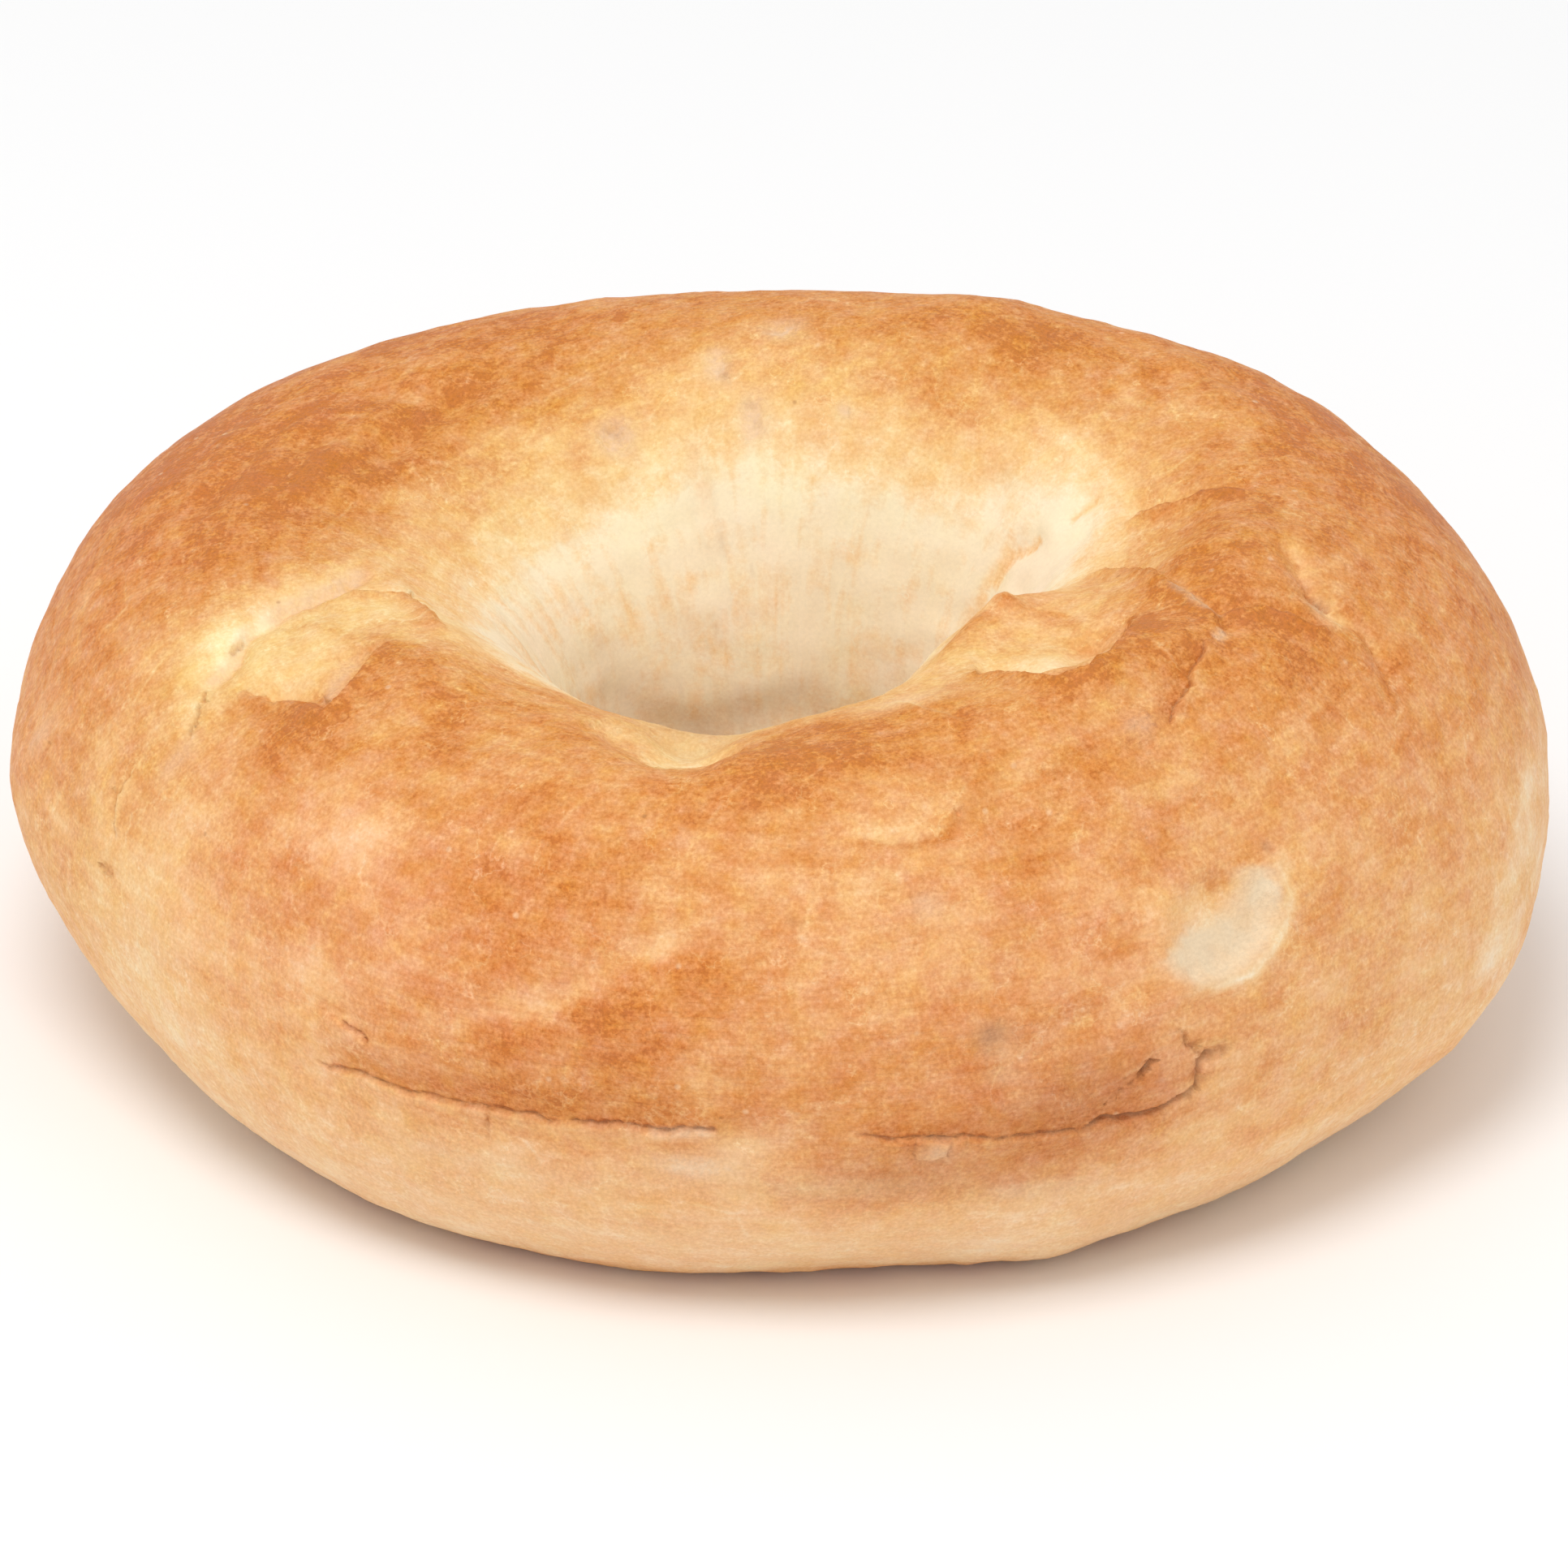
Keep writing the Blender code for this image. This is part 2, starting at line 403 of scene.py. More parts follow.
def work_the_crust(crust):
    """Adds up how far each feature lifts or sinks the crust."""
    for azimuth, turn, half_length, half_width, height in SWELLINGS:
        crust.lift += height * np.exp(-crust.around(azimuth, turn, half_length, half_width) ** 2)
    for path, half_width, depth in VALLEYS:
        near, distance, side, share = crust.along(path, half_width * 2.2)
        crust.lift[near] -= depth * np.exp(-((distance / half_width) ** 2)) * ends(share)
    for path, spread, height in LEDGES:
        near, distance, side, share = crust.along(path, spread)
        step = side * np.clip(distance / LEDGE_RISE, 0, 1) * fade(distance / spread)
        crust.lift[near] += 0.5 * height * step * ends(share)
    for azimuth, turn, half_length, half_width, depth, rim in BLISTERS:
        far = crust.around(azimuth, turn, half_length, half_width)
        crust.lift -= depth * fade(far**2 * 0.8)
        crust.lift += rim * np.exp(-(((far - 1.15) / 0.22) ** 2))


def open_the_cracks(crust):
    """Sinks each open crack, wider in some places than in others."""
    for path, half_width, depth in CRACKS:
        near, distance, side, share = crust.along(path, half_width * 2.5)
        gape = 0.75 + 0.35 * np.sin(share * 23 + depth * 20) * np.sin(share * 41)
        crust.lift[near] -= depth * gape * fade(distance / (half_width * gape * 1.6)) * ends(share, 0.06)


def roughen(crust):
    """The small unevenness of the skin: soft bumps, rolled streaks and fine wrinkles."""
    crust.lift += BUMP_HEIGHT * noise_over(crust, 9.0, 1)
    crust.lift += DIMPLE_HEIGHT * noise_over(crust, 2.6, 2)
    crust.lift += ROLLED_STREAK_HEIGHT * fibres_over(crust, 9.0, 1.6, 3)
    crust.lift += WRINKLE_HEIGHT * noise_over(crust, 1.1, 4)
    crust.lift += STRAND_HEIGHT * hanging_strands(crust)
    crust.lift[crust.points[:, 2] < BASE_HEIGHT] *= BASE_UNEVENNESS


# How brown the crust is round the rope, from 0, pale dough, to 1, dark brown: turn, toast
TOAST_ROUND_ROPE = (
    (0, 0.4),
    (45, 0.55),
    (80, 0.7),
    (95, 0.65),
    (120, 0.25),
    (135, 0.0),
    (205, 0.05),
    (255, 0.55),
    (285, 0.55),
    (300, 0.15),
    (330, 0.25),
    (360, 0.4),
)

# Patches that baked browner or stayed paler: azimuth, turn, half length, half width, toast added
PATCHES = (
    (158, 50, 24, 14, 0.28),  # dark shoulder at the back left
    (152, 36, 22, 9, 0.15),
    (125, 58, 14, 7, 0.15),
    (8, 40, 16, 9, 0.2),
    (35, 66, 14, 6, 0.15),
    (20, 60, 12, 8, 0.1),
    (160, 78, 12, 6, 0.1),
    (125, 85, 14, 6, 0.06),
    (97, 90, 10, 4, 0.12),
    (60, 108, 10, 6, 0.2),
    (45, 92, 9, 5, 0.1),
    (22, 108, 9, 6, -0.26),  # pale gap at the back right
    (15, 122, 10, 5, -0.14),
    (165, 106, 7, 4, -0.12),
    (194, 86, 7, 7, -0.34),  # left fold
    (195, 58, 7, 6, -0.14),
    (188, 104, 7, 5, -0.16),
    (205, 79, 5, 4, -0.3),
    (213, 67, 5, 3.6, 0.25),
    (215, 62, 3.5, 3.5, 0.16),
    (217, 41, 2, 3.5, 0.16),
    (278, -24, 5, 3, 0.14),
    (236, 60, 8, 4, 0.1),
    (218, 48, 12, 7, -0.12),
    (226, 62, 6, 5, -0.06),
    (229, 52.5, 4.5, 3.4, -0.26),
    (246, 48, 6, 3.5, 0.18),
    (262, 31, 5, 3, 0.14),
    (267, -12, 3, 2, -0.15),
    (279, -15, 4, 3, 0.1),
    (223, 35, 3.5, 4, 0.2),
    (229, 15, 4, 3, -0.12),
    (272, 78, 4, 2.5, 0.1),
    (279, 54, 2.4, 1.5, -0.14),
    (283, 43, 3, 2, -0.12),
    (271, 62, 2.5, 2, -0.14),
    (298, 2, 4, 5, 0.12),
    (287, -20, 7, 3, 0.12),
    (297, -30, 8, 2.4, -0.1),
    (192, 63, 7, 5, -0.1),  # cream hollow outside the left fold
    (188, 76, 5, 4, -0.12),
    (205, 12, 12, 12, -0.14),  # pale lower left
    (208, -10, 12, 8, -0.1),
    (222, 97, 7, 4, 0.18),
    (240, 114, 6, 5, 0.3),
    (217, 121, 8, 3, -0.14),
    (255, 104, 6, 4.5, -0.36),  # notch in the front lip
    (259, 94, 3, 3, -0.25),
    (277, 97, 10, 6, 0.24),
    (272, 88, 7, 3, 0.15),
    (250, 8, 16, 7, 0.12),  # brown bands by the front crack
    (262, 20, 12, 5, 0.12),
    (290, -5, 14, 7, 0.24),
    (345, 5, 10, 12, -0.12),  # pale right edge
    (0, 10, 10, 9, -0.12),
    (332, -10, 12, 8, -0.1),
    (306, 34, 8, 7, -0.12),  # round the big blister
    (309, 30, 4, 3.2, -0.24),
    (283.5, 71.3, 4.5, 3, -0.25),
    (318, 45, 6, 6, -0.08),
    (285, 47, 8, 5, -0.1),
    (324, 85, 5, 4, 0.16),
    (330, 70, 6, 4, 0.16),
    (335, 58, 3, 6, 0.1),
    (342, 87, 8, 5, 0.2),
    (347, 75, 3, 2.5, -0.22),
    (341, 65, 1.2, 1.3, -0.5),
    (2, 55, 12, 12, 0.1),
    (15, 70, 9, 6, 0.1),
    (312, 100, 5, 3.5, -0.42),  # valley behind the lobe
    (318, 124, 7, 2.5, 0.2),
    (288, 104, 4, 3, -0.2),
)

# Edges and streaks in the bake: path, reach to the left, reach to the right, toast added
STREAKS = (
    (LEFT_FOLD, 0.5, 5.0, -0.24),
    (LEFT_SPLIT, 0.2, 1.4, -0.2),
    (LEFT_CREST, 0.3, 2.2, 0.36),
    (((192, 78), (193, 86), (197.5, 92), (202, 97), (208, 100.5)), 0.5, 1.5, 0.15),
    (POCKET_FOOT, 0.25, 4.2, 0.36),
    (((212, 75), (219, 74.5)), 0.5, 0.5, -0.12),
    (LOBE_FOOT, 0.25, 3.2, 0.38),
    (LOBE_CREST, 0.3, 2.0, 0.28),
    (((336, 94), (333.5, 89), (331, 82.6)), 0.8, 0.6, -0.25),
    (RIGHT_SHEET, 0.3, 3.0, 0.26),
    (RIGHT_SPLIT, 1.9, 0.2, -0.3),
    (RIGHT_SPLIT, 0.1, 2.0, 0.12),
    (RIGHT_ARCH, 0.25, 3.0, 0.28),
    (UPPER_SHEET, 0.3, 3.6, 0.36),
    (RIGHT_CREASE[:4], 2.2, 0.3, -0.22),
    (RIGHT_CREASE[3:], 0.6, 0.6, -0.22),
    (((336, 63), (332, 60), (326, 56)), 0.5, 0.5, -0.18),
    (((337, 60), (333, 54), (328, 48)), 0.4, 0.4, -0.14),
    (((365, 56), (352, 47), (342, 34)), 0.6, 0.6, -0.1),
    (((308.4, 72.6), (310, 70.4), (311.5, 69.7)), 0.2, 0.9, 0.16),
    (((298.5, 73), (300.2, 71)), 0.2, 0.9, 0.16),
    (FRONT_SPLIT + FRONT_SPLIT_END[1:], 3.6, 0.2, 0.18),
    (FRONT_SPLIT + FRONT_SPLIT_END[1:], 0.1, 1.2, -0.12),
    (RIGHT_LOW_SPLIT + RIGHT_LOW_TEAR[1:4], 4.5, 3.0, 0.18),
    (PALE_BAND, 2.2, 1.2, -0.26),
    (((244, 13), (250, 19), (255, 25), (260, 34)), 2.0, 3.6, 0.16),
    (((288, 6), (291, 12), (294, 16), (300, 20)), 1.8, 0.5, -0.14),
    (((357, 26), (349, 19), (342, 12), (338, 6), (336, 0), (334, -8)), 12.0, 0.5, -0.16),
    (((29, 127), (29, 136), (30, 146)), 0.5, 0.8, 0.12),
    (((18, 110), (19, 119)), 0.4, 0.6, 0.15),
    (((21, 124), (27, 132), (28, 141)), 0.7, 0.7, 0.22),
    (((317.6, 41), (316.8, 31.3), (315.6, 24.7), (313, 19.6), (309.5, 17.8), (305, 19)), 0.8, 0.8, -0.3),
    (BLISTER_EDGE[:5], 0.1, 0.4, 0.14),
    (((306, 39.4), (309, 39.3), (313, 40), (315.6, 41.5)), 1.0, 0.2, 0.16),
    (DISC_EDGE, 0.2, 1.0, 0.2),
    (((242, 95), (251.5, 99), (260.6, 87)), 0.3, 2.6, 0.2),
    (((260.6, 87), (266, 98), (272, 103), (281, 103)), 0.3, 3.0, 0.2),
    (((238, 0), (245, 3), (250, 5), (261, 4), (270, 3)), 2.4, 2.4, 0.12),
    (FLAKE, 0.8, 0.15, -0.12),
    (RIGHT_LOW_SPLIT + RIGHT_LOW_TEAR[1:4], 0.1, 1.0, -0.16),
    (((289, 105), (291, 98), (294, 88)), 0.8, 0.8, -0.25),
    (((156, 87), (150, 86), (140, 87), (126, 87)), 0.6, 2.2, 0.18),
    (((158, 90), (150, 96), (140, 100)), 0.6, 2.0, 0.16),
    (((166, 41), (175, 38), (175, 35)), 0.7, 0.7, -0.16),
    (((199, 33), (199, 27), (200.5, 18)), 0.9, 0.2, -0.1),
    (((178, 28), (181, 14), (182, 4)), 1.2, 0.3, -0.12),
    (((363, 84), (362, 80), (359, 77)), 0.4, 0.6, -0.15),
    (((141, 74), (136, 87), (136, 97)), 1.5, 1.5, -0.14),  # rolled bands across the back of the ring
    (((149, 62), (143, 76), (140, 87), (137, 100)), 2.0, 2.0, 0.18),
    (((156, 65), (150, 79), (145, 95)), 1.6, 1.6, -0.16),
    (((164, 57), (160, 74), (155, 90), (152, 101)), 2.4, 1.4, 0.2),
    (((135.5, 53), (134, 67), (133, 82)), 1.2, 1.2, -0.12),
    (((134, 58), (131, 72), (121, 77)), 2.0, 2.0, 0.16),
    (((14, 82), (12, 70)), 1.6, 1.6, 0.16),
    (((33, 98), (33, 84), (28, 71)), 1.8, 1.8, -0.16),
    (((60, 98), (50, 96), (46, 85)), 2.2, 2.2, 0.18),
    (((366.5, 97), (360, 80)), 2.0, 2.0, 0.16),
    (((26, 92), (19, 73)), 1.4, 1.4, -0.14),
)

# Dry, floury skin: azimuth, turn, half length, half width, amount
FLOUR_SPOTS = (
    (263.5, -15, 3.2, 1.0, 0.6),
    (284, -11, 1.0, 0.8, 0.4),
    (184, 18, 1.0, 2.0, 0.4),
    (311, 73.3, 1.5, 1.0, 0.4),
    (119.5, 117.5, 1.5, 1.5, 0.9),
    (99, 109.5, 0.9, 1.8, 0.8),
    (93.5, 122.5, 1.1, 2.2, 0.9),
    (107, 134, 0.8, 4.0, 0.5),
    (88, 103, 1.6, 1.2, 0.7),
    (74, 121, 0.7, 0.8, 0.7),
    (284, 50.4, 1.0, 0.8, 0.5),
    (264.7, -16, 2.4, 0.8, 0.5),
    (268, -9, 2.4, 1.2, 0.35),
    (283.4, -10.5, 1.0, 0.9, 0.3),
    (289, 8.5, 1.4, 0.5, 0.4),
    (290, 104, 3, 1.4, 0.4),
    (203, 44, 1.0, 1.8, 0.4),
    (313, 101, 3.0, 1.2, 0.3),
)

# Dry lines: path, reach, amount
FLOUR_LINES = (
    (LEFT_FOLD[:5], 1.0, 0.6),
    (LEFT_FOLD[4:], 0.65, 0.55),
    (((336, 94), (333.5, 89), (331, 82.6)), 0.6, 0.5),
    (((329, 80), (327, 79)), 0.5, 0.6),
    (((212, 77), (209, 82), (205, 92)), 0.7, 0.4),
    (((260, -5), (263, -5), (266, -4)), 0.4, 0.6),
)

# Greyish skin: azimuth, turn, half length, half width, amount
GREY_SPOTS = (
    (308.5, 27, 3.0, 2.0, 0.5),
    (341.6, 69.5, 1.0, 0.8, 0.6),
    (288.8, 18.5, 1.4, 1.1, 0.3),
    (275, -22, 10.0, 1.2, 0.3),
    (246, -24, 12.0, 1.5, 0.25),
    (293, -27, 5.0, 1.2, 0.4),
)

# Thin pale film left in the big blister: path, reach, amount
GREY_LINES = (
    (BLISTER_FILM, 2.2, 0.85),
    (BLISTER_EDGE[1:7], 1.2, 0.55),
)

# Dark marks and dull brown patches, the broad ones painted shade low on the front and at the back edges: azimuth,
# turn, half length, half width, amount
DARK_MARKS_AND_SHADE_PATCHES = (
    (119, 117, 0.4, 0.5, 0.4),
    (120, 115, 0.3, 0.3, 0.3),
    (98, 112, 0.3, 0.6, 0.5),
    (93, 123, 0.3, 0.5, 0.4),
    (94, 119, 0.3, 0.3, 0.5),
    (316.5, 41.3, 0.35, 0.5, 0.5),
    (308.7, 25.2, 0.35, 0.4, 0.25),
    (288.4, 18.7, 1.3, 1.0, 0.45),
    (272.4, 49, 0.4, 0.3, 0.5),
    (109, 160, 0.3, 0.8, 0.15),
    (140, 160, 1.2, 1.6, 0.12),
    (104, 144, 0.25, 1.2, 0.15),
    (96, 150, 0.2, 0.6, 0.15),
    # Painted shade: the next seven patches darken the crust low on the front and at the back edges, where it turns
    # away from the light.
    (298, -3, 8, 5, 0.16),
    (287, -16, 9, 3, 0.14),
    (252, -1, 14, 2.5, 0.12),
    (18, 45, 14, 6, 0.08),
    (135, 45, 14, 6, 0.08),
    (279, -18, 6, 3, 0.12),
    (294, 1, 6, 3.5, 0.14),
    (257, 116, 4.5, 3, 0.25),
    (95, 136, 22, 7, 0.08),
)

# How yellow the crust is round the rope, above 0, or how pink, below 0: turn, yellow
YELLOW_ROUND_ROPE = (
    (0, -0.3),
    (45, -0.2),
    (75, 0.2),
    (105, 0.7),
    (120, 0.8),
    (145, 0.0),
    (180, -0.3),
    (235, -0.4),
    (345, -0.2),
    (360, -0.3),
)

# Yellower or pinker patches: azimuth, turn, half length, half width, yellow added
YELLOW_PATCHES = (
    (232, 40, 14, 8, -0.6),
    (290, 6, 12, 6, -0.4),
    (300, 30, 8, 6, -0.3),
    (195, 85, 7, 9, 0.6),
    (196, 60, 6, 5, 0.7),
    (200, 15, 12, 12, 0.5),
    (345, 50, 8, 8, 0.2),
    (218, 121, 10, 3, -0.3),
    (15, 124, 12, 6, -0.8),
    (188, 126, 12, 7, -0.6),
    (330, 119, 5, 4, -0.6),
    (300, -12, 12, 5, -0.3),
    (313, 28, 5, 7, 0.5),
)


def bake(crust):
    """How brown each point of the crust is."""
    turns, toasts = zip(*TOAST_ROUND_ROPE)
    toast = np.interp(crust.turn, turns, toasts)
    for azimuth, turn, half_length, half_width, added in PATCHES:
        toast += added * np.exp(-crust.around(azimuth, turn, half_length, half_width) ** 2)
    uneven = 0.06 * noise_over(crust, 11.0, 5)
    uneven += 0.16 * noise_over(crust, 3.6, 6)
    uneven += 0.16 * fibres_over(crust, 7.0, 1.8, 7)
    toast += uneven * np.clip(0.25 + 1.2 * toast, 0.1, 1.1)
    for path, left_reach, right_reach, added in STREAKS:
        near, distance, side, share = crust.along(path, max(left_reach, right_reach))
        reach = np.where(side > 0, left_reach, right_reach)
        toast[near] += added * fade(distance / reach) * ends(share)
    # Painted shade: each open crack is made browner inside.
    for path, half_width, depth in CRACKS:
        near, distance, side, share = crust.along(path, half_width * 2)
        toast[near] += 0.15 * fade(distance / (half_width * 2)) * ends(share, 0.06)
    return toast + STRAND_TOAST * hanging_strands(crust)


def flour(crust):
    """How dry and floury the skin is."""
    amount = np.zeros(len(crust.points))
    for azimuth, turn, half_length, half_width, added in FLOUR_SPOTS:
        amount += added * np.exp(-crust.around(azimuth, turn, half_length, half_width) ** 2)
    for path, reach, added in FLOUR_LINES:
        near, distance, side, share = crust.along(path, reach * 1.6)
        amount[near] += added * fade(distance / (reach * 1.6)) * ends(share)
    return np.clip(amount, 0, 1)


def grey_and_painted_shade(crust):
    """How grey the crust is: painted shade deep in the hole, painted shade together with the base's own beige low
    on the sides, and real grey in a few spots.
    """
    # Painted shade: greyer low on the sides and deep in the hole, where the rope turns away from the light; low on
    # the sides this is also the beige of the base.
    low = fade(np.abs(crust.turn - 312) / 26)
    deep = fade(np.abs(crust.turn - 195) / 34)
    amount = 0.3 * low + 0.04 * deep
    for path, reach, added in GREY_LINES:
        near, distance, side, share = crust.along(path, reach)
        amount[near] += added * fade(distance / reach) ** 0.5 * ends(share, 0.05)
    for azimuth, turn, half_length, half_width, added in GREY_SPOTS:
        amount += added * np.exp(-crust.around(azimuth, turn, half_length, half_width) ** 2)
    return np.clip(amount, 0, 1)


def dark_marks_and_shade(crust):
    """How dark the crust is: painted shade in the cracks, below the hole's lip and in other shaded hollows, and
    the crust's own dark marks.
    """
    amount = np.zeros(len(crust.points))
    for azimuth, turn, half_length, half_width, added in DARK_MARKS_AND_SHADE_PATCHES:
        amount += added * np.exp(-crust.around(azimuth, turn, half_length, half_width) ** 2)
    # Painted shade inside each open crack.
    for path, half_width, depth in CRACKS:
        near, distance, side, share = crust.along(path, half_width * 2)
        amount[near] += (0.1 + 0.5 * depth) * fade(distance / (half_width * 1.2)) * ends(share, 0.06)
    # Painted shade below the hole's lip, reaching further down than up.
    near, distance, side, share = crust.along(HOLE_LIP, 5.0)
    amount[near] += 0.1 * fade(distance / np.where(side > 0, 0.8, 5.0)) ** 0.7 * ends(share)
    return np.clip(amount, 0, 1)


def yellow(crust):
    """How far the crust leans to yellow, above 0, or to pink, below 0."""
    turns, amounts = zip(*YELLOW_ROUND_ROPE)
    amount = np.interp(crust.turn, turns, amounts)
    for azimuth, turn, half_length, half_width, added in YELLOW_PATCHES:
        amount += added * np.exp(-crust.around(azimuth, turn, half_length, half_width) ** 2)
    return amount + 0.25 * noise_over(crust, 5.0, 8)


def store(mesh, name, values):
    layer = mesh.attributes.new(name, "FLOAT", "POINT")
    layer.data.foreach_set("value", np.asarray(values, dtype=np.float32))


def lay_out_bake_map(mesh, azimuths, turns):
    """Lays the crust flat in two strips, each half of the ring, unrolled from the middle of the base."""
    layer = mesh.uv_layers.new(name="OFBake")
    for polygon in mesh.polygons:
        around = [(azimuths[index] - 45) % 360 for index in polygon.vertices]
        rolled = [(turns[index] - 270) % 360 for index in polygon.vertices]
        if max(around) - min(around) > 180:
            around = [value + 360 if value < 180 else value for value in around]
        if max(rolled) - min(rolled) > 180:
            rolled = [value + 360 if value < 180 else value for value in rolled]
        strip = 0 if sum(around) / len(around) < 180 else 1
        for loop, azimuth, turn in zip(polygon.loop_indices, around, rolled):
            across = 0.02 + 0.96 * (azimuth - 180 * strip) / 180
            up = 0.01 + 0.48 * turn / 360 + 0.5 * strip
            layer.data[loop].uv = (min(max(across, 0.001), 0.999), min(max(up, 0.001), 0.999))


def finished_crust(solid_node):
    corners = [vert.co / MM for vert in solid_node.data.vertices]
    faces = [tuple(polygon.vertices) for polygon in solid_node.data.polygons]
    rope = spun_rope()
    drape(rope, BVHTree.FromPolygons(corners, faces))
    crust = Crust(rope)
    refine(crust)
    work_the_crust(crust)
    roughen(crust)
    open_the_cracks(crust)
    toast = bake(crust)
    dry = flour(crust)
    # The grey and dark values hold painted shade as well as the crust's own colours.
    grey_and_shade = grey_and_painted_shade(crust)
    warm = yellow(crust)
    marks_and_shade = dark_marks_and_shade(crust)
    final = crust.points + crust.normals * crust.lift[:, None]
    final[:, 2] = np.maximum(final[:, 2], 0.0)
    for vert, place in zip(rope.verts, final):
        vert.co = place
    bmesh.ops.scale(rope, verts=rope.verts[:], vec=(MM, MM, MM))
    mesh = bpy.data.meshes.new("bagel_crust")
    rope.to_mesh(mesh)
    rope.free()
    mesh.shade_smooth()
    store(mesh, "toast", toast)
    store(mesh, "flour", dry)
    store(mesh, "grey_and_painted_shade", grey_and_shade)
    store(mesh, "yellow", warm)
    store(mesh, "dark_marks_and_shade", marks_and_shade)
    for name, angle in (("round_ring", crust.azimuth), ("round_rope", crust.turn)):
        store(mesh, name + "_cosine", np.cos(np.radians(angle)))
        store(mesh, name + "_sine", np.sin(np.radians(angle)))
    lay_out_bake_map(mesh, crust.azimuth, crust.turn)
    piece = bpy.data.objects.new("bagel_crust", mesh)
    bpy.context.scene.collection.objects.link(piece)
    return piece


# Crust colours from pale dough to dark brown: toast, colour
CRUST_COLOURS = (
    (0.00, (0.945, 0.81, 0.575)),
    (0.10, (0.93, 0.66, 0.37)),
    (0.20, (0.89, 0.55, 0.26)),
    (0.33, (0.85, 0.465, 0.19)),
    (0.45, (0.80, 0.392, 0.147)),
    (0.56, (0.76, 0.337, 0.113)),
    (0.68, (0.73, 0.296, 0.086)),
    (0.80, (0.70, 0.259, 0.064)),
    (0.90, (0.665, 0.227, 0.047)),
    (1.00, (0.60, 0.185, 0.033)),
)


# Other colours of the crust, with those of its painted shade and painted highlights
# Greyish skin, also used as painted shade deep in the hole and low on the sides
GREY_SKIN_AND_SHADE = (0.81, 0.63, 0.42, 1)
FLOURY_SKIN = (0.87, 0.63, 0.41, 1)
# Dark marks, and the colour of the painted shade in the cracks, below the hole's lip and in broad patches
DARK_MARK_AND_SHADE = (0.38, 0.18, 0.09, 1)
BROWN_SPECK = (0.35, 0.15, 0.05, 1)
# Painted highlights: pale specks that stand in for glints on the bumps of the crust
PAINTED_SPARKLE = (0.95, 0.70, 0.45, 1)

# Sizes of the mottling, in blotches or cells to the metre
GRAIN_SCALE = 3400
MEALY_SCALE = 1100
HONEY_SCALE = 520
PATCHY_SCALE = 300
VEIN_SCALE = 130
SPECK_SCALE = 210
PAINTED_SPARKLE_SCALE = 420

# How much each kind of mottling changes the toast
MEALY_TOAST = 0.9
PATCHY_TOAST = 0.7
FIBRE_TOAST = 0.55
GRAIN_TOAST = 0.6
VEIN_TOAST = 0.36
GRAIN_SHADE = 0.42
YELLOW_STRENGTH = 0.1
HONEY_STRENGTH = 1.5


